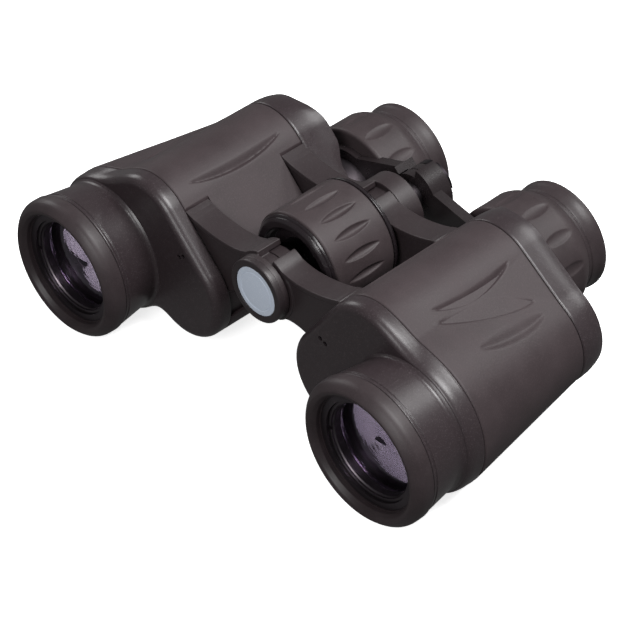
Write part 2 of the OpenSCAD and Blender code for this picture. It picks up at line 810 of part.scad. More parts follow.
module focus_wheel_grip() {
  color(rubber_black) place() difference() {
    tube(hinge_at, wheel_y + wheel_rim, wheel_y + wheel_w - wheel_rim, wheel_r,
         wheel_r - grip_t + seat_gap);
    for (k = [0:wheel_flutes - 1])
      translate([0, wheel_y + wheel_rim + flute_margin, hinge_rise])
        rotate([0, k * 360 / wheel_flutes, 0])
          rod([wheel_r + 0.5, 0], 0, wheel_w - 2 * (wheel_rim + flute_margin), 1.3);
  }
}

pin_tail_y = wheel_y + 4.5;
module focus_nut() {
  color("goldenrod") place() difference() {
    rod(hinge_at, wheel_y + 1, nut_end_y, nut_r);
    rod(hinge_at, wheel_y, pin_tail_y + 0.6, shaft_tail_r + run_gap);
    rod(hinge_at, pin_tail_y, wheel_y + wheel_w + 2, spindle_r + run_gap);
  }
}

// ---- Hinge ----

module hinge_cap() {
  color("gainsboro") place()
    turned(hinge_at, [[0, boss_y - cap_t], [wrap_r - 1.6, boss_y - cap_t],
      [wrap_r - 1, boss_y - cap_t + 0.6], [wrap_r - 1, boss_y], [0, boss_y]]);
}

lock_t = 1.6;
module hinge_pin() {
  color("silver") place() union() {
    rod(hinge_at, boss_y + 0.2, boss_y + 2, hinge_pin_r + 2.4);
    rod(hinge_at, boss_y + 1, front_arm_y + arm_w + side_gap + lock_t, hinge_pin_r);
    rod(hinge_at, front_arm_y + arm_w, pin_tail_y, shaft_tail_r);
  }
}
module hinge_lock_nut() {
  color("dimgray") place()
    tube(hinge_at, front_arm_y + arm_w + side_gap, front_arm_y + arm_w + side_gap + lock_t,
         knuckle_r - 1.5, hinge_pin_r + seat_gap);
}
module hinge_bush() {
  color("silver") place() difference() {
    union() {
      rod(hinge_at, rear_arm_y - washer_t, rear_sleeve_end_y + side_gap, hinge_bush_r);
      rod(hinge_at, rear_sleeve_end_y + side_gap, rear_sleeve_end_y + side_gap + bush_flange_t,
          hinge_bush_r + 1.6);
    }
    rod(hinge_at, rear_arm_y - 2, rear_sleeve_end_y + 4, spindle_r + run_gap);
  }
}
module hinge_washer() {
  color("gold") place()
    tube(hinge_at, rear_arm_y - washer_t, rear_arm_y, knuckle_r - 0.5, hinge_bush_r + seat_gap);
}

left_housing();
right_housing();
left_armour();
right_armour();
left_front_cover();
right_front_cover();
left_rear_cover();
right_rear_cover();
left_objective_ring();
right_objective_ring();
left_objective_cell();
right_objective_cell();
left_objective_lens();
right_objective_lens();
left_retaining_ring();
right_retaining_ring();
left_prism_shelf();
right_prism_shelf();
left_front_prism();
right_front_prism();
left_rear_prism();
right_rear_prism();
left_prism_clips();
right_prism_clips();
left_adjusting_screws();
right_adjusting_screws();
left_cover_screws();
right_cover_screws();
left_eye_tube();
right_eye_tube();
left_lens_barrel();
right_lens_barrel();
left_field_lens();
right_field_lens();
left_eye_lens();
right_eye_lens();
left_eyepiece_ring();
right_dioptre_ring();
left_eyecup();
right_eyecup();
left_bridge_arm();
right_bridge_arm();
focus_spindle();
spindle_nut();
focus_wheel_core();
focus_wheel_grip();
focus_nut();
hinge_cap();
hinge_pin();
hinge_lock_nut();
hinge_bush();
hinge_washer();
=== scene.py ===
# Looks of the binoculars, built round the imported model.
# Lengths below are millimetres in the working frame: x to the right barrel, y from the
# objective rims to the eyecups, z up from the objective axes. settle() moves each piece
# into the shared frame, in metres.
import json
from math import atan2, cos, hypot, pi, radians, sin, sqrt
import bmesh
import bpy
import numpy as np
from mathutils import Matrix, Vector


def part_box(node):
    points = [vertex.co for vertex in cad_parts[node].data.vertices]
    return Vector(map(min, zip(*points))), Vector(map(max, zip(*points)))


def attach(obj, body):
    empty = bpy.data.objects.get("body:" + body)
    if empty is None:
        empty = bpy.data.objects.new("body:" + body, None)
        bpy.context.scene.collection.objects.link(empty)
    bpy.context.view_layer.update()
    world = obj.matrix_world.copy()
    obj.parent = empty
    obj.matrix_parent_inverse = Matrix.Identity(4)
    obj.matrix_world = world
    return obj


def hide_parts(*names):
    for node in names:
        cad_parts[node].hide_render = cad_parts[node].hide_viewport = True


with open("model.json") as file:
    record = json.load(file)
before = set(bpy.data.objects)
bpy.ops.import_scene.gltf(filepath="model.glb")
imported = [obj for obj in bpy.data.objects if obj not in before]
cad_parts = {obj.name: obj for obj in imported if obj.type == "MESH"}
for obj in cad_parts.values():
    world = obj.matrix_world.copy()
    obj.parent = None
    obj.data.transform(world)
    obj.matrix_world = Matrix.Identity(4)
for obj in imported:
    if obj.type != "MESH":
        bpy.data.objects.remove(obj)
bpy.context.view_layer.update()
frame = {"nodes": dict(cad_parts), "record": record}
MM = 0.001

# ---- Places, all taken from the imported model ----


def corners(node):
    lo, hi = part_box(node)
    return Vector(lo) / MM, Vector(hi) / MM


rim_lo, rim_hi = corners("right_objective_ring")
ORIGIN = Vector((0, rim_lo.y, (rim_lo.z + rim_hi.z) / 2))


def span(node):
    lo, hi = corners(node)
    return lo.y - ORIGIN.y, hi.y - ORIGIN.y


def centre(node):
    lo, hi = corners(node)
    middle = (lo + hi) / 2 - ORIGIN
    return middle.x, middle.z


def radius(node):
    lo, hi = corners(node)
    return (hi.z - lo.z) / 2


OBJECTIVE = centre("right_objective_ring")
EYE = centre("right_eye_tube")
HINGE = centre("hinge_cap")
STEP = hypot(EYE[0] - OBJECTIVE[0], EYE[1] - OBJECTIVE[1]) / sqrt(2)
STEP_TURN = atan2(EYE[1] - OBJECTIVE[1], EYE[0] - OBJECTIVE[0]) - pi / 4
MID = (OBJECTIVE[0] + STEP * cos(STEP_TURN), OBJECTIVE[1] + STEP * sin(STEP_TURN))
# Point inside the barrel that its outlines are measured from
CORE = (OBJECTIVE[0] - 16.3, 3.5)
RIM_R = radius("right_objective_ring")
RIM_END = span("right_objective_ring")[1]
PLATE = span("right_adjusting_screws")[0] - 0.4
FRONT_SEAM, REAR_SEAM = span("right_armour")
COVER_END = span("right_rear_cover")[1]
armour_lo, armour_hi = corners("right_armour")
LOBE_R = EYE[0] - armour_lo.x
SHOULDER_R = armour_hi.x - OBJECTIVE[0]
# Thickness of the armour, and radius of an adjusting screw
SKIN = 1.15
ADJUST_R = 0.7
# Points in each outline
SIDES = 512
WAYS = np.linspace(0, 2 * pi, SIDES, endpoint=False)

# ---- Flat outlines ----


def smooth_step(t):
    t = np.clip(t, 0, 1)
    return t * t * (3 - 2 * t)


def seg_gap(x, z, a, b, r):
    dx = b[0] - a[0]
    dz = b[1] - a[1]
    t = np.clip(((x - a[0]) * dx + (z - a[1]) * dz) / (dx * dx + dz * dz), 0, 1)
    return np.hypot(x - a[0] - t * dx, z - a[1] - t * dz) - r


def soft_min(a, b, k):
    h = np.maximum(k - np.abs(a - b), 0) / k
    return np.minimum(a, b) - h * h * k / 4


def body_gap(x, z, lobe, round_r, rear, blend):
    lobes = np.minimum(seg_gap(x, z, MID, EYE, lobe), seg_gap(x, z, OBJECTIVE, MID, rear))
    return soft_min(lobes, np.hypot(x - OBJECTIVE[0], z - OBJECTIVE[1]) - round_r, blend)


def outline(shape, grow=0.0):
    """Distances from the core to the outline, one for each direction."""
    lobe, round_r, rear, blend = shape
    reach = np.full(SIDES, 60.0)
    for _ in range(40):
        x = CORE[0] + reach * np.cos(WAYS)
        z = CORE[1] + reach * np.sin(WAYS)
        reach = reach - 0.8 * body_gap(x, z, lobe + grow, round_r + grow, rear + grow, blend)
    return reach


def at_reach(reach, y):
    """Ring of points at a station; y may be one number or one for each direction."""
    x = CORE[0] + reach * np.cos(WAYS)
    z = CORE[1] + reach * np.sin(WAYS)
    return np.stack([x, np.broadcast_to(y, x.shape), z], axis=1)


def barrel_shape(y):
    """Outline of the barrel, which tapers from the front seam to the rear seam."""
    t = (y - FRONT_SEAM) / (REAR_SEAM - FRONT_SEAM)
    t = min(max(t, 0), 1)
    round_r = SHOULDER_R + (LOBE_R - SHOULDER_R) * t
    return LOBE_R, round_r, LOBE_R - 0.7 * (1 - t), 10 - 9.2 * t


# ---- Mesh building ----


def skin(rings, closed=False):
    """Faces between rings of points; closed joins the last ring to the first."""
    count = len(rings[0])
    verts = [tuple(p) for ring in rings for p in ring]
    faces = []
    last = len(rings) if closed else len(rings) - 1
    for i in range(last):
        a = i * count
        b = ((i + 1) % len(rings)) * count
        for k in range(count):
            n = (k + 1) % count
            faces.append((a + k, a + n, b + n, b + k))
    return verts, faces


def rounded(points, steps=5):
    """Closed profile of (r, y, fillet) with its corners rounded."""
    out = []
    count = len(points)
    for i, (r, y, f) in enumerate(points):
        here = Vector((r, y))
        if f == 0:
            out.append(here)
            continue
        before = Vector(points[i - 1][:2]) - here
        after = Vector(points[(i + 1) % count][:2]) - here
        start = here + before.normalized() * min(f, before.length / 2)
        end = here + after.normalized() * min(f, after.length / 2)
        for k in range(steps + 1):
            t = k / steps
            out.append(start * (1 - t) ** 2 + here * 2 * t * (1 - t) + end * t * t)
    return out


def lathe(axis, profile, sides=256, dent=None):
    """Solid of revolution; dent(angle, y) is how far its outer face is pressed in."""
    angles = np.linspace(0, 2 * pi, sides, endpoint=False)
    rings = []
    for p in rounded(profile):
        r = np.full(sides, max(p[0], 0.0))
        if dent is not None:
            r = r - dent(angles, p[0], p[1])
        rings.append(np.stack([axis[0] + r * np.cos(angles), np.full(sides, p[1]),
                               axis[1] + r * np.sin(angles)], axis=1))
    return skin(rings, closed=True)


def block(lo, hi):
    verts = [(x, y, z) for x in (lo[0], hi[0]) for y in (lo[1], hi[1]) for z in (lo[2], hi[2])]
    faces = [(0, 1, 3, 2), (4, 6, 7, 5), (0, 4, 5, 1), (2, 3, 7, 6), (0, 2, 6, 4), (1, 5, 7, 3)]
    return verts, faces


def rod(axis, start, end, r, sides=96):
    return lathe(axis, [(0, start, 0), (r, start, 0), (r, end, 0), (0, end, 0)], sides)


def solid(name, *shells):
    verts = []
    faces = []
    for shell_verts, shell_faces in shells:
        base = len(verts)
        verts.extend(shell_verts)
        faces.extend(tuple(base + i for i in face) for face in shell_faces)
    mesh = bpy.data.meshes.new(name)
    mesh.from_pydata([tuple(float(c) for c in v) for v in verts], [], faces)
    obj = bpy.data.objects.new(name, mesh)
    bpy.context.scene.collection.objects.link(obj)
    tidy(obj)
    return obj


def tidy(obj):
    bm = bmesh.new()
    bm.from_mesh(obj.data)
    bmesh.ops.remove_doubles(bm, verts=bm.verts, dist=0.0005)
    bmesh.ops.dissolve_degenerate(bm, dist=0.0005, edges=bm.edges)
    bmesh.ops.recalc_face_normals(bm, faces=bm.faces)
    bm.to_mesh(obj.data)
    bm.free()


def bake_modifiers(obj):
    bpy.context.view_layer.update()
    graph = bpy.context.evaluated_depsgraph_get()
    mesh = bpy.data.meshes.new_from_object(obj.evaluated_get(graph))
    old = obj.data
    obj.modifiers.clear()
    obj.data = mesh
    bpy.data.meshes.remove(old)


def cut(obj, *shells):
    """Takes each shell away from a piece, one after the other."""
    for shell in shells:
        cutter = solid("cutter", shell)
        mod = obj.modifiers.new("cut", "BOOLEAN")
        mod.operation = "DIFFERENCE"
        mod.solver = "EXACT"
        mod.object = cutter
        bake_modifiers(obj)
        bpy.data.objects.remove(cutter)


def soften(obj, width, reach=200, angle=32, segments=3):
    """Rounds the hard edges of a solid that lie within a reach of the hinge, across x."""
    bm = bmesh.new()
    bm.from_mesh(obj.data)
    bmesh.ops.remove_doubles(bm, verts=bm.verts, dist=0.002)
    inner = [v for v in bm.verts if abs(v.co.x) < reach]
    near = [e for e in bm.edges if all(abs(v.co.x) < reach for v in e.verts)]
    bmesh.ops.dissolve_limit(bm, angle_limit=radians(0.3), verts=inner, edges=near)
    near = [e for e in bm.edges if all(abs(v.co.x) < reach for v in e.verts)]
    hard = [e for e in near if len(e.link_faces) == 2 and e.calc_face_angle(0) > radians(angle)]
    bmesh.ops.bevel(bm, geom=hard, offset=width, segments=segments, profile=0.5, affect="EDGES",
                    clamp_overlap=False)
    bmesh.ops.recalc_face_normals(bm, faces=bm.faces)
    bm.to_mesh(obj.data)
    bm.free()
    return obj


def copy_of(node):
    """Copy of a CAD node in the working frame, in millimetres."""
    source = frame["nodes"][node]
    mesh = source.data.copy()
    mesh.transform(source.matrix_world)
    mesh.transform(Matrix.Translation(-ORIGIN) @ Matrix.Scale(1 / MM, 4))
    mesh.materials.clear()
    obj = bpy.data.objects.new(node + "_look", mesh)
    bpy.context.scene.collection.objects.link(obj)
    tidy(obj)
    return obj


def settle(obj, name, body, slot, *nodes, left=False, sharp=34, even=False):
    """Moves a piece into the shared frame and hangs it on its body, finish and nodes."""
    obj.name = name
    mesh = obj.data
    if left:
        mesh.transform(Matrix.Scale(-1, 4, Vector((1, 0, 0))))
        mesh.flip_normals()
    mesh.transform(Matrix.Scale(MM, 4) @ Matrix.Translation(ORIGIN))
    mesh.polygons.foreach_set("use_smooth", [True] * len(mesh.polygons))
    mesh.set_sharp_from_angle(angle=radians(sharp))
    mesh.update()
    if even:
        mod = obj.modifiers.new("even", "WEIGHTED_NORMAL")
        mod.keep_sharp = True
        bake_modifiers(obj)
    obj.data.materials.clear()
    obj.data.materials.append(FINISH[slot])
    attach(obj, body)
    if nodes:
        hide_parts(*nodes)
    return obj


# ---- Finishes ----


def link(tree, out, into):
    tree.links.new(out, into)


def noise(tree, scale, detail=2.0, roughness=0.5, stretch=None):
    coords = tree.nodes.new("ShaderNodeTexCoord")
    node = tree.nodes.new("ShaderNodeTexNoise")
    node.inputs["Scale"].default_value = scale
    node.inputs["Detail"].default_value = detail
    node.inputs["Roughness"].default_value = roughness
    if stretch is None:
        link(tree, coords.outputs["Object"], node.inputs["Vector"])
    else:
        mapping = tree.nodes.new("ShaderNodeMapping")
        mapping.inputs["Scale"].default_value = stretch
        link(tree, coords.outputs["Object"], mapping.inputs["Vector"])
        link(tree, mapping.outputs["Vector"], node.inputs["Vector"])
    return node.outputs["Fac"]


def remap(tree, value, low, high, to_low, to_high):
    node = tree.nodes.new("ShaderNodeMapRange")
    node.inputs["From Min"].default_value = low
    node.inputs["From Max"].default_value = high
    node.inputs["To Min"].default_value = to_low
    node.inputs["To Max"].default_value = to_high
    link(tree, value, node.inputs["Value"])
    return node.outputs["Result"]


def mix_colour(tree, fac, a, b):
    node = tree.nodes.new("ShaderNodeMix")
    node.data_type = "RGBA"
    link(tree, fac, node.inputs["Factor"])
    for socket, value in (("A", a), ("B", b)):
        into = [s for s in node.inputs if s.name == socket and s.type == "RGBA"][0]
        if isinstance(value, tuple):
            into.default_value = (*value, 1)
        else:
            link(tree, value, into)
    return [s for s in node.outputs if s.type == "RGBA"][0]


def bumps(tree, shader, *layers):
    """Layers of (height, distance in metres, strength), from coarse to fine."""
    previous = None
    for height, distance, strength in layers:
        node = tree.nodes.new("ShaderNodeBump")
        node.inputs["Distance"].default_value = distance
        node.inputs["Strength"].default_value = strength
        link(tree, height, node.inputs["Height"])
        if previous is not None:
            link(tree, previous, node.inputs["Normal"])
        previous = node.outputs["Normal"]
    link(tree, previous, shader.inputs["Normal"])


def new_finish(name):
    mat = bpy.data.materials.new(name)
    mat.use_nodes = True
    return mat, mat.node_tree, mat.node_tree.nodes["Principled BSDF"]


def rubber(name, dark, light, rough, grain, depth):
    """Moulded rubber: fine grain, cloudy bloom and a slightly uneven sheen."""
    mat, tree, shader = new_finish(name)
    cloud = noise(tree, 70, 4.0, 0.6)
    fine = noise(tree, grain, 3.0, 0.55)
    bloom = remap(tree, cloud, 0.35, 0.7, 0.0, 1.0)
    pits = remap(tree, fine, 0.3, 0.7, 0.0, 1.0)
    toned = mix_colour(tree, bloom, dark, light)
    dusty = tuple(1.35 * c for c in light)
    link(tree, mix_colour(tree, remap(tree, pits, 0.55, 1.0, 0.0, 0.6), toned, dusty),
         shader.inputs["Base Color"])
    link(tree, remap(tree, cloud, 0.3, 0.7, rough - 0.05, rough + 0.07), shader.inputs["Roughness"])
    shader.inputs["Specular IOR Level"].default_value = 0.30
    bumps(tree, shader, (noise(tree, 420, 2.0), 0.00006, 0.35), (fine, depth, 0.7))
    return mat


def paint(name, dark, speck, rough, scale, depth, amount):
    """Baked paint: faint orange peel with fine pale specks in it."""
    mat, tree, shader = new_finish(name)
    fine = noise(tree, scale, 2.0, 0.5)
    peel = noise(tree, 650, 2.0, 0.5)
    worn = noise(tree, 45, 5.0, 0.65)
    specks = remap(tree, fine, 0.62 - amount, 0.72, 0.0, 1.0)
    link(tree, mix_colour(tree, specks, dark, speck), shader.inputs["Base Color"])
    link(tree, remap(tree, worn, 0.3, 0.7, rough - 0.05, rough + 0.08), shader.inputs["Roughness"])
    shader.inputs["Specular IOR Level"].default_value = 0.45
    bumps(tree, shader, (peel, 0.00003, 0.4), (fine, depth, 0.5))
    return mat


def turned_metal(name, colour, rough, shade=0.75, scale=2600):
    """Machined metal: fine rings across the y axis, with darker tarnish in patches."""
    mat, tree, shader = new_finish(name)
    lines = noise(tree, scale, 2.0, 0.6, stretch=(0.05, 1.0, 0.05))
    patches = noise(tree, 110, 4.0, 0.6)
    dim = tuple(shade * c for c in colour)
    link(tree, mix_colour(tree, remap(tree, patches, 0.35, 0.7, 0.0, 1.0), colour, dim),
         shader.inputs["Base Color"])
    link(tree, remap(tree, patches, 0.3, 0.7, rough - 0.06, rough + 0.1), shader.inputs["Roughness"])
    shader.inputs["Metallic"].default_value = 1.0
    bumps(tree, shader, (lines, 0.00001, 0.5))
    return mat


def glass(name, tint, ior, reflect, level):
    mat, tree, shader = new_finish(name)
    smear = noise(tree, 90, 3.0, 0.6)
    tone = tuple(0.96 * c for c in tint)
    link(tree, mix_colour(tree, remap(tree, smear, 0.4, 0.7, 0.0, 1.0), tint, tone),
         shader.inputs["Base Color"])
    link(tree, remap(tree, smear, 0.4, 0.75, 0.0, 0.025), shader.inputs["Roughness"])
    shader.inputs["Transmission Weight"].default_value = 1.0
    shader.inputs["IOR"].default_value = ior
    shader.inputs["Specular Tint"].default_value = (*reflect, 1)
    shader.inputs["Specular IOR Level"].default_value = level
    return mat


FINISH = {
    "armour_rubber": rubber("armour_rubber", (0.029, 0.0212, 0.0230), (0.037, 0.0272, 0.0295),
                            0.52, 2400, 0.00007),
    "ring_rubber": rubber("ring_rubber", (0.022, 0.0160, 0.0175), (0.032, 0.0240, 0.0260),
                          0.44, 3200, 0.00003),
    "grip_rubber": rubber("grip_rubber", (0.026, 0.0190, 0.0205), (0.038, 0.0285, 0.0305),
                          0.50, 2900, 0.00005),
    "housing_paint": paint("housing_paint", (0.021, 0.0150, 0.0165), (0.050, 0.040, 0.043),
                           0.42, 4200, 0.00003, 0.03),
    "cover_paint": paint("cover_paint", (0.023, 0.0165, 0.0185), (0.066, 0.054, 0.058),
                         0.31, 3600, 0.00003, 0.04),
    "bridge_paint": paint("bridge_paint", (0.014, 0.0105, 0.0115), (0.030, 0.025, 0.027),
                          0.26, 4200, 0.00001, 0.01),
    "wheel_plastic": paint("wheel_plastic", (0.012, 0.0090, 0.0105), (0.026, 0.022, 0.025),
                           0.18, 3600, 0.00001, 0.01),
    "anodised": turned_metal("anodised", (0.100, 0.086, 0.096), 0.40),
    "shelf_metal": turned_metal("shelf_metal", (0.30, 0.30, 0.32), 0.45),
    "steel": turned_metal("steel", (0.56, 0.55, 0.54), 0.28),
    "dark_steel": turned_metal("dark_steel", (0.050, 0.043, 0.050), 0.30),
    "brass": turned_metal("brass", (0.78, 0.57, 0.28), 0.30),
    "cap_plastic": paint("cap_plastic", (0.020, 0.0150, 0.0165), (0.036, 0.029, 0.031),
                         0.36, 3600, 0.00001, 0.01),
    "lens_coated": glass("lens_coated", (0.66, 0.57, 0.72), 1.62, (0.66, 0.50, 0.84), 0.9),
    "lens_clear": glass("lens_clear", (0.93, 0.95, 0.98), 1.52, (0.75, 0.75, 1.0), 0.6),
    "prism_glass": glass("prism_glass", (0.66, 0.68, 0.69), 1.57, (1.0, 1.0, 1.0), 0.5),
}
INLAY = paint("cap_inlay", (0.52, 0.58, 0.68), (0.64, 0.69, 0.77), 0.30, 3000, 0.00001, 0.03)

# ---- Armour ----


def edge_inset(distance, r):
    """How far a rounded edge stands back at a distance from it."""
    d = min(max(distance, 0), r)
    return r - sqrt(r * r - (r - d) ** 2)


def groove(phi, rho, y, start, end, angles, half, depth, crisp):
    """Depth of one lens-shaped groove that runs along the barrel and comes to a point."""
    u = (y - start) / (end - start)
    if u <= 0 or u >= 1:
        return 0 * phi
    first, middle, last = angles
    bow = 2 * (first + last - 2 * middle) * u * u + (4 * middle - 3 * first - last) * u + first
    fade = (4 * u * (1 - u)) ** 0.6
    s = crisp * np.radians(phi - bow) * rho / (half * fade)
    rise = smooth_step((s + 1) / 0.7)
    fall = smooth_step((1 - s) / 1.5)
    return depth * fade ** 0.7 * np.minimum(rise, fall)


def armour_grooves(points, y):
    x = points[:, 0] - MID[0]
    z = points[:, 2] - MID[1]
    phi = np.degrees(np.arctan2(z, x))
    rho = np.hypot(x, z)
    total = groove(phi, rho, y, 32, 68, (123, 130, 124), 2.1, 1.05, -1)
    total = total + groove(phi, rho, y, 36.5, 66.7, (49, 40, 48), 1.9, 1.05, 1)
    total = total + groove(phi, rho, y, 35.5, 66.3, (35.5, 22.5, 10), 2.2, 1.1, 1)
    return total + groove(phi, rho, y, 39.5, 65.5, (11, 6, 3), 1.9, 1.0, 1)


def armour(side, body):
    places = [FRONT_SEAM + d for d in (0.08, 0.15, 0.3, 0.5, 0.75)]
    steps = 92
    first = FRONT_SEAM + 1
    last = REAR_SEAM - 1
    places += [first + (last - first) * k / steps for k in range(steps + 1)]
    places += [REAR_SEAM - d for d in (0.75, 0.5, 0.3, 0.15, 0.08)]
    rings = []
    for y in places:
        reach = outline(barrel_shape(y))
        near = min(y - FRONT_SEAM, REAR_SEAM - y)
        reach = reach - edge_inset(near, 0.75)
        reach = reach - armour_grooves(at_reach(reach, y), y)
        rings.append(at_reach(reach, y))
    for y in (REAR_SEAM - 0.02, FRONT_SEAM + 0.02):
        rings.append(at_reach(outline(barrel_shape(y), -SKIN), y))
    obj = solid("armour", skin(rings, closed=True))
    arm_lo = FRONT_SEAM - 1, REAR_SEAM - 9.1
    arm_hi = FRONT_SEAM + 9.1, REAR_SEAM + 1
    notch_x = MID[0] - LOBE_R + 2.9
    low = EYE[1] - 5
    high = HINGE[1] + 20
    cut(obj, *[block((-4, a, low), (notch_x, b, high)) for a, b in zip(arm_lo, arm_hi)])
    settle(obj, side + "_armour_skin", body, "armour_rubber", side + "_armour",
           left=side == "left", sharp=40)


# ---- Covers ----


def face_rings(reach, y, drop, steps=14):
    """Rings that close an end face, from the outline in towards the core."""
    rings = []
    for k in range(1, steps):
        t = 1 - k / steps
        points = at_reach(reach * t, y)
        if drop is not None:
            points[:, 1] = y + drop(points[:, 0], points[:, 2])
        rings.append(points)
    middle = at_reach(reach * 0.002, y)
    if drop is not None:
        middle[:, 1] = y + drop(middle[:, 0], middle[:, 2])
    rings.append(middle)
    return rings


def front_shape(y):
    q = min(max((y - PLATE) / 3.0, 0), 1)
    swell = sqrt(1 - (1 - q) ** 2)
    t = (y - PLATE) / (FRONT_SEAM - PLATE)
    return (LOBE_R - 2.6 + 2.6 * swell, SHOULDER_R - 1.1 + 1.1 * swell,
            LOBE_R - 4 + 3.3 * t, 8 + 2 * t)


def end_cap(ring):
    """One many-sided face over a ring."""
    return [tuple(p) for p in ring], [tuple(range(len(ring)))]


def front_cover(side, body):
    places = [PLATE + d for d in (0, 0.05, 0.15, 0.3, 0.5, 0.8, 1.2, 1.7, 2.3, 3, 4, 5)]
    places += [FRONT_SEAM - d for d in (0.6, 0.35, 0.2, 0.1, 0.05)]
    rings = []
    for y in places:
        reach = outline(front_shape(y)) - edge_inset(FRONT_SEAM - y, 0.6)
        rings.append(at_reach(reach, y))
    inside = outline(front_shape(FRONT_SEAM), -2.6)
    rings.append(at_reach(inside, FRONT_SEAM - 0.02))
    rings.append(at_reach(inside, PLATE + 1.8))
    shell = skin(rings)
    obj = solid("cover", shell, end_cap(rings[0]), end_cap(rings[-1]))
    bore = radius("right_objective_cell") + 0.08
    lo, hi = corners("right_adjusting_screws")
    half_x = (hi.x - lo.x) / 2 - ADJUST_R
    half_z = (hi.z - lo.z) / 2 - ADJUST_R
    screw_x, screw_z = centre("right_adjusting_screws")
    cut(obj, rod(OBJECTIVE, PLATE - 4, FRONT_SEAM + 4, bore, 256))
    for k in (-1, 1):
        at = screw_x + k * half_x, screw_z - k * half_z
        cut(obj, rod(at, PLATE - 2, PLATE + 4, ADJUST_R + 0.08, 48))
    foot = RIM_R - 2.0
    tube = lathe(OBJECTIVE, [(bore, RIM_END - 3.4, 0), (RIM_R - 2.5, RIM_END - 3.4, 0.2),
                             (RIM_R - 2.5, RIM_END + 0.04, 0), (RIM_R - 0.35, RIM_END + 0.04, 0.35),
                             (RIM_R - 0.45, RIM_END + 0.9, 0.1), (RIM_R - 0.75, RIM_END + 1.1, 0.1),
                             (RIM_R - 0.75, RIM_END + 1.4, 0.1), (RIM_R - 0.5, RIM_END + 1.6, 0.1),
                             (foot, PLATE - 1.0, 1.2), (foot + 0.8, PLATE + 0.02, 0),
                             (foot + 0.8, PLATE + 0.8, 0), (bore, PLATE + 0.8, 0)], 256)
    sleeve = solid("tube", tube)
    join_into(obj, sleeve)
    settle(obj, side + "_front_cover_shell", body, "cover_paint", side + "_front_cover",
           left=side == "left", sharp=38, even=True)


def join_into(obj, *others):
    """Adds other solids to a piece as shells of their own."""
    bm = bmesh.new()
    bm.from_mesh(obj.data)
    for other in others:
        bm.from_mesh(other.data)
        mesh = other.data
        bpy.data.objects.remove(other)
        bpy.data.meshes.remove(mesh)
    bm.to_mesh(obj.data)
    bm.free()


def rear_rise(x, z):
    """The rear face runs back towards its inner top corner, over the eyepiece bars."""
    return 3.2 * smooth_step((z - 12.8) / 7.5) * smooth_step((47 - x) / 14)


def rear_cover(side, body):
    shape = barrel_shape(REAR_SEAM)
    full = outline(shape)
    crown = 1.15
    round_r = 0.55
    lead = COVER_END - round_r
    rings = []
    for d in (0.05, 0.1, 0.2, 0.35, 0.6):
        rings.append(at_reach(full - edge_inset(d, 0.6), REAR_SEAM + d))
    around = at_reach(full, 0.0)
    rise = rear_rise(around[:, 0], around[:, 2])
    for k in range(17):
        t = k / 16
        rings.append(at_reach(full - crown * t ** 2.6, REAR_SEAM + 0.9
                              + t * (lead - REAR_SEAM - 0.9 + rise)))
    for k in range(1, 6):
        turn = k / 5 * pi / 2 * 0.94
        reach = full - crown - round_r * (1 - cos(turn))
        rings.append(at_reach(reach, lead + rise + round_r * sin(turn)))
    edge = full - crown - round_r - 0.2
    face_y = lead + round_r - 0.06
    ring = at_reach(edge, face_y)
    ring[:, 1] = face_y + rear_rise(ring[:, 0], ring[:, 2])
    rings.append(ring)
    rings += face_rings(edge, face_y, rear_rise)
    inside = outline(shape, -2.6)
    inner = [at_reach(inside, REAR_SEAM + 0.02), at_reach(inside, COVER_END - 2.5)]
    shell = skin(inner[::-1] + rings)
    obj = solid("cover", shell, end_cap(inner[1]), end_cap(rings[-1]))
    bore = radius("right_eye_tube") + 0.06
    cut(obj, rod(EYE, REAR_SEAM - 6, COVER_END + 9, bore, 192))
    ring_face = [(bore, COVER_END - 0.6, 0), (bore + 1.5, COVER_END - 0.6, 0),
                 (bore + 1.5, COVER_END + 0.25, 0.2), (bore, COVER_END + 0.25, 0.2)]
    guide_lo = span("right_eye_tube")[0]
    guide = [(bore, guide_lo, 0.2), (bore + 2, guide_lo, 0.2), (bore + 2, COVER_END - 2, 0),
             (bore, COVER_END - 2, 0)]
    for place in screw_places():
        cut(obj, rod(place, COVER_END - 1.3, COVER_END + 3, 2.28, 64),
            rod(place, COVER_END - 4, COVER_END + 1, 1.28, 48))
    lug_x = OBJECTIVE[0] - 2
    lug_z = -LOBE_R - 1.6
    lug_half = 1.7
    lug_tall = 2.8
    lug_rim = 1.6
    lug = solid("lug", block((lug_x - lug_half, COVER_END - 8.6, lug_z - lug_tall),
                             (lug_x + lug_half, COVER_END, lug_z + lug_tall)))
    cut(lug, block((lug_x - 4, COVER_END - 7, lug_z - 1.6),
                   (lug_x + 4, COVER_END - lug_rim, lug_z + 1)))
    soften(lug, 0.5)
    join_into(obj, solid("guide", lathe(EYE, guide, 192)), solid("lip", lathe(EYE, ring_face, 192)),
              lug)
    settle(obj, side + "_rear_cover_shell", body, "cover_paint", side + "_rear_cover",
           left=side == "left", sharp=36, even=True)


def screw_places():
    """Centres of the three rear cover screws, from the box round them."""
    lo, hi = corners("right_cover_screws")
    head_r = 2.2
    turn = 50
    reach = (hi.x - ORIGIN.x - head_r - OBJECTIVE[0]) / cos(radians(turn))
    spots = [(OBJECTIVE, -turn), (OBJECTIVE, turn), (MID, 110)]
    return [(c[0] + reach * cos(radians(a)), c[1] + reach * sin(radians(a))) for c, a in spots]


# ---- Objective end ----


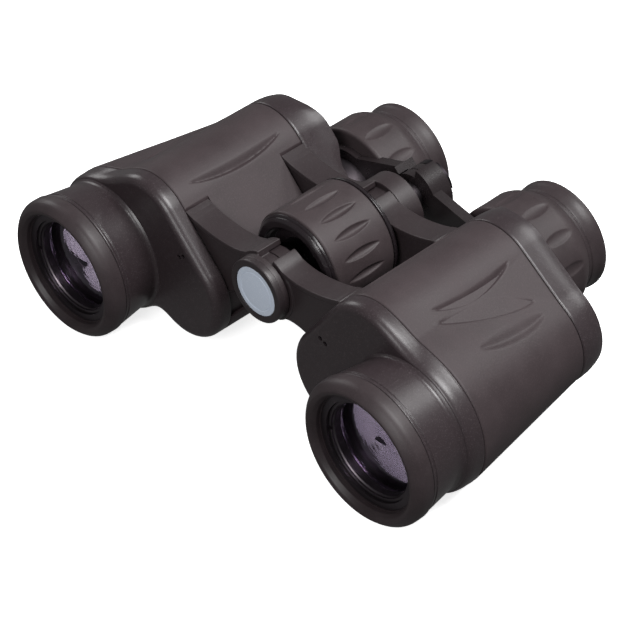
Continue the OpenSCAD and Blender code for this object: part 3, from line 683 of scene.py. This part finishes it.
def objective_end(side, body):
    left = side == "left"
    bore = radius("right_objective_cell") + 0.35
    ring = [(bore, 1.9, 0.15), (bore + 0.95, 0.45, 0.4), (bore + 1.8, 0, 0.4),
            (RIM_R - 2.3, 0, 1.2), (RIM_R, 2.3, 1.6), (RIM_R, RIM_END - 0.45, 0.1),
            (RIM_R - 0.45, RIM_END - 0.02, 0.2), (RIM_R - 2.45, RIM_END - 0.02, 0),
            (RIM_R - 2.45, RIM_END - 3.4, 0), (bore, RIM_END - 3.4, 0)]
    obj = solid("rim", lathe(OBJECTIVE, ring, 320))
    settle(obj, side + "_objective_rim", body, "ring_rubber", side + "_objective_ring", left=left)
    start, end = span("right_retaining_ring")
    outer = radius("right_retaining_ring")
    inner = radius("right_objective_lens") - 1.3
    ring = [(inner, end, 0), (inner, start + 1.1, 0.15), (inner + 0.35, start + 0.7, 0.1),
            (inner + 0.35, start, 0.15), (outer, start, 0.2), (outer, end, 0)]
    obj = solid("retainer", lathe(OBJECTIVE, ring, 256))
    for s in (-1, 1):
        x = OBJECTIVE[0] + s * (inner + outer) / 2
        cut(obj, block((x - 2, start - 1, OBJECTIVE[1] - 0.6), (x + 2, start + 0.8, OBJECTIVE[1] + 0.6)))
    settle(obj, side + "_retainer", body, "anodised", side + "_retaining_ring", left=left, even=True)


# ---- Eyepieces ----


def lens_dents(count, start, end, half, depth, outer, turn=0.0, power=0.6):
    """Pointed lens-shaped grooves spaced evenly round a ring."""

    def dent(angles, r, y):
        u = (y - start) / (end - start)
        if u <= 0 or u >= 1 or r < outer - 0.8:
            return 0 * angles
        fade = (4 * u * (1 - u)) ** power
        pitch = 2 * pi / count
        off = (angles - turn + pitch / 2) % pitch - pitch / 2
        s = np.clip(np.abs(off * outer / (half * fade)), 0, 1)
        return depth * fade * (1 - s * s) ** 0.8

    return dent


def stations(start, end, r, steps):
    """Even stations along a straight stretch of a profile."""
    return [(r, start + (end - start) * k / steps, 0) for k in range(steps + 1)]


def eyepiece_ring(side, body, node):
    start, end = span("right_dioptre_ring")
    outer = radius("right_dioptre_ring")
    bore = radius("right_eye_tube") + 0.08
    neck = radius("right_eyecup") - 0.6
    flange = span("right_lens_barrel")[1]
    seat = radius("right_lens_barrel") + 0.08
    wall = 3
    profile = [(bore, start, 0), (outer - 1.3, start, 0), (outer - 0.55, start + 0.1, 0),
               (outer - 0.15, start + 0.5, 0)]
    profile += stations(start + 1, end - 5.2, outer, 44)
    profile += [(outer - 0.16, end - 4.5, 0), (outer - 0.5, end - 3.5, 0),
                (outer - 1.1, end - 2.4, 0), (outer - 1.9, end - 1.3, 0),
                (neck + 0.25, end - 0.35, 0), (neck, end - 0.02, 0), (seat - 1.4, end - 0.02, 0),
                (seat - 1.4, flange + 0.08, 0), (seat, flange + 0.08, 0), (seat, flange - 3.1, 0),
                (bore, flange - 3.1, 0), (bore, flange - 5, 0), (outer - wall, flange - 5, 0),
                (outer - wall, start + 2, 0), (bore, start + 2, 0)]
    dent = lens_dents(12, start + 1.6, end - 4.4, 1.9, 0.55, outer, radians(15))
    obj = solid("ring", lathe(EYE, profile, 480, dent))
    settle(obj, side + "_eyepiece_grip", body, "grip_rubber", node, left=side == "left", sharp=48)


def eyecup(side, body):
    start, end = span("right_eyecup")
    outer = radius("right_eyecup")
    neck = outer - 0.6
    lens = radius("right_eye_lens") + 1.6
    profile = [(lens, start + 0.02, 0), (neck, start + 0.02, 0), (neck, start + 1, 0.3),
               (neck - 0.25, start + 1.2, 0.1), (neck - 0.25, start + 1.45, 0.1),
               (neck, start + 1.7, 0.3), (neck + 0.1, end - 3.4, 1.0), (outer, end - 1.9, 0.6),
               (outer, end, 0.9), (outer - 1.9, end, 0.8), (outer - 2.7, end - 1.1, 0.8),
               (neck - 2.3, start + 1.6, 0.8), (lens, start + 1.4, 0.4)]
    obj = solid("cup", lathe(EYE, profile, 256))
    settle(obj, side + "_eyecup_rubber", body, "ring_rubber", side + "_eyecup",
           left=side == "left")


# ---- Focus wheel and hinge ----


def wheel():
    start, end = span("focus_wheel_core")
    outer = radius("focus_wheel_grip")
    core = outer - 2
    grip_lo, grip_hi = span("focus_wheel_grip")
    nut = radius("focus_nut") + 0.06
    hub = span("focus_nut")[1] - 0.5
    profile = [(nut, start + 4, 0), (core - 3, start + 4, 0.5), (core - 3, start + 1.2, 0.2),
               (core - 2.4, start + 0.7, 0.1), (core - 2.0, start, 0.2), (outer - 2.1, start, 0.3),
               (outer - 1.2, start + 0.8, 0.15), (outer - 1.35, start + 0.95, 0.05),
               (outer - 1.35, start + 1.15, 0.05), (outer - 1.05, start + 1.25, 0.1),
               (outer - 0.5, grip_lo - 0.2, 0.2), (outer - 0.9, grip_lo - 0.04, 0),
               (core, grip_lo - 0.04, 0), (core, grip_hi + 0.04, 0), (outer - 0.9, grip_hi + 0.04, 0),
               (outer - 0.05, grip_hi + 0.35, 0.15), (outer - 0.05, end - 0.95, 0.12),
               (outer - 0.45, end - 0.8, 0.05), (outer - 0.45, end - 0.6, 0.05),
               (outer - 0.25, end - 0.5, 0.1), (outer - 0.9, end, 0.25), (core - 2.4, end, 0.3),
               (core - 3, hub, 0.3), (nut, hub, 0.1)]
    obj = solid("core", lathe(HINGE, profile, 320))
    settle(obj, "focus_wheel_body", "focus_wheel", "wheel_plastic", "focus_wheel_core")
    profile = [(core + 0.06, grip_lo, 0), (outer - 0.8, grip_lo, 0), (outer - 0.3, grip_lo + 0.15, 0),
               (outer - 0.08, grip_lo + 0.4, 0)]
    profile += stations(grip_lo + 0.8, grip_hi - 0.5, outer, 56)
    profile += [(outer - 0.25, grip_hi - 0.15, 0), (outer - 0.7, grip_hi, 0),
                (core + 0.06, grip_hi, 0)]
    dent = lens_dents(16, grip_lo + 4.2, grip_hi - 4.4, 1.45, 1.0, outer, power=0.75)
    obj = solid("grip", lathe(HINGE, profile, 640, dent))
    settle(obj, "focus_wheel_rubber", "focus_wheel", "grip_rubber", "focus_wheel_grip", sharp=55)


def hinge_cap():
    start, end = span("hinge_cap")
    outer = radius("hinge_cap")
    well = outer - 2.2
    profile = [(0, end - 0.02, 0), (outer, end - 0.02, 0), (outer, start, 0.7), (well, start, 0.2),
               (well, start + 0.55, 0.1), (0, start + 0.55, 0)]
    obj = solid("cap", lathe(HINGE, profile, 192))
    settle(obj, "hinge_cap_rim", "left_half", "cap_plastic", "hinge_cap")
    disc = well - 0.12
    profile = [(0, start + 0.6, 0), (disc, start + 0.6, 0), (disc, start + 0.3, 0.12),
               (disc - 1.5, start + 0.3, 0.05), (disc - 1.6, start + 0.42, 0.05),
               (disc - 1.9, start + 0.42, 0.05), (disc - 2.0, start + 0.3, 0.05),
               (0, start + 0.22, 0)]
    obj = solid("inlay", lathe(HINGE, profile, 192))
    settle(obj, "hinge_cap_inlay", "left_half", "cap_plastic", "hinge_cap")
    obj.data.materials.clear()
    obj.data.materials.append(INLAY)


# ---- Every piece ----

SLOT_OF = {p["node"]: p["material_slot"] for p in frame["record"]["subparts"]}


def softened(node, body, width, reach):
    """Copy of a CAD node with the hard edges near the hinge rounded."""
    obj = soften(copy_of(node), width, reach)
    settle(obj, node + "_casting", body, SLOT_OF[node], node, sharp=31, even=True)


def dress_nodes():
    """Finish for the CAD nodes that show their own shape."""
    for node, obj in frame["nodes"].items():
        mesh = obj.data
        mesh.materials.clear()
        mesh.materials.append(FINISH[SLOT_OF[node]])


dress_nodes()
for SIDE in ("left", "right"):
    HALF = SIDE + "_half"
    armour(SIDE, HALF)
    front_cover(SIDE, HALF)
    rear_cover(SIDE, HALF)
    objective_end(SIDE, HALF)
    softened(SIDE + "_housing", HALF, 0.3, 31)
eyepiece_ring("left", "left_bridge", "left_eyepiece_ring")
eyepiece_ring("right", "dioptre_ring", "right_dioptre_ring")
eyecup("left", "left_bridge")
eyecup("right", "dioptre_ring")
wheel()
hinge_cap()

# ---- Floor, light and camera ----


def floor():
    """White ground, hidden from diffuse and glossy rays so that it throws no light up."""
    mat = bpy.data.materials.new("floor")
    mat.use_nodes = True
    shader = mat.node_tree.nodes["Principled BSDF"]
    shader.inputs["Base Color"].default_value = (0.90, 0.90, 0.90, 1)
    shader.inputs["Roughness"].default_value = 0.9
    shader.inputs["Specular IOR Level"].default_value = 0.1
    shader.inputs["Emission Color"].default_value = (1, 1, 1, 1)
    shader.inputs["Emission Strength"].default_value = 0.75
    mesh = bpy.data.meshes.new("floor")
    half = 6.0
    z = -0.0004
    mesh.from_pydata([(-half, -half, z), (half, -half, z), (half, half, z), (-half, half, z)], [],
                     [(0, 1, 2, 3)])
    obj = bpy.data.objects.new("floor", mesh)
    mesh.materials.append(mat)
    bpy.context.scene.collection.objects.link(obj)
    obj.visible_diffuse = False
    obj.visible_glossy = False


def softbox(name, place, size, power, target=(0, 0, 0.02)):
    data = bpy.data.lights.new(name, "AREA")
    data.shape = "RECTANGLE"
    data.size = size[0]
    data.size_y = size[1]
    data.energy = power
    obj = bpy.data.objects.new(name, data)
    obj.location = place
    aim = Vector(target) - Vector(place)
    obj.rotation_euler = aim.to_track_quat("-Z", "Y").to_euler()
    bpy.context.scene.collection.objects.link(obj)


def studio():
    world = bpy.data.worlds.new("studio")
    world.use_nodes = True
    back = world.node_tree.nodes["Background"]
    back.inputs["Color"].default_value = (1, 1, 1, 1)
    back.inputs["Strength"].default_value = 0.16
    bpy.context.scene.world = world
    softbox("top", (0.50, 0.15, 0.95), (0.5, 0.5), 15)
    softbox("front", (0.45, -0.90, 0.75), (0.5, 0.5), 9)
    softbox("left", (-0.95, 0.1, 0.5), (0.4, 0.4), 2)
    softbox("back", (0.2, 0.95, 0.7), (0.6, 0.4), 5)
    bpy.context.scene.view_settings.view_transform = "Standard"
    bpy.context.scene.view_settings.look = "None"


AZIMUTH = radians(49.5)
ELEVATION = radians(37.18)
ROLL = radians(-4.88)
DISTANCE = 0.77
AIM = Vector((0.0084, -0.0224, 0.0241))
LENS = 153.2
SENSOR = 36


def camera():
    data = bpy.data.cameras.new("camera")
    data.lens = LENS
    data.sensor_width = SENSOR
    data.clip_start = 0.05
    data.clip_end = 20
    obj = bpy.data.objects.new("camera", data)
    back = Vector((sin(AZIMUTH) * cos(ELEVATION), -cos(AZIMUTH) * cos(ELEVATION), sin(ELEVATION)))
    right = Vector((cos(AZIMUTH), sin(AZIMUTH), 0))
    up = back.cross(right)
    turned_right = cos(ROLL) * right + sin(ROLL) * up
    turned_up = -sin(ROLL) * right + cos(ROLL) * up
    turn = Matrix((turned_right, turned_up, back)).transposed()
    obj.matrix_world = Matrix.Translation(AIM + back * DISTANCE) @ turn.to_4x4()
    bpy.context.scene.collection.objects.link(obj)
    bpy.context.scene.camera = obj


floor()
studio()
camera()
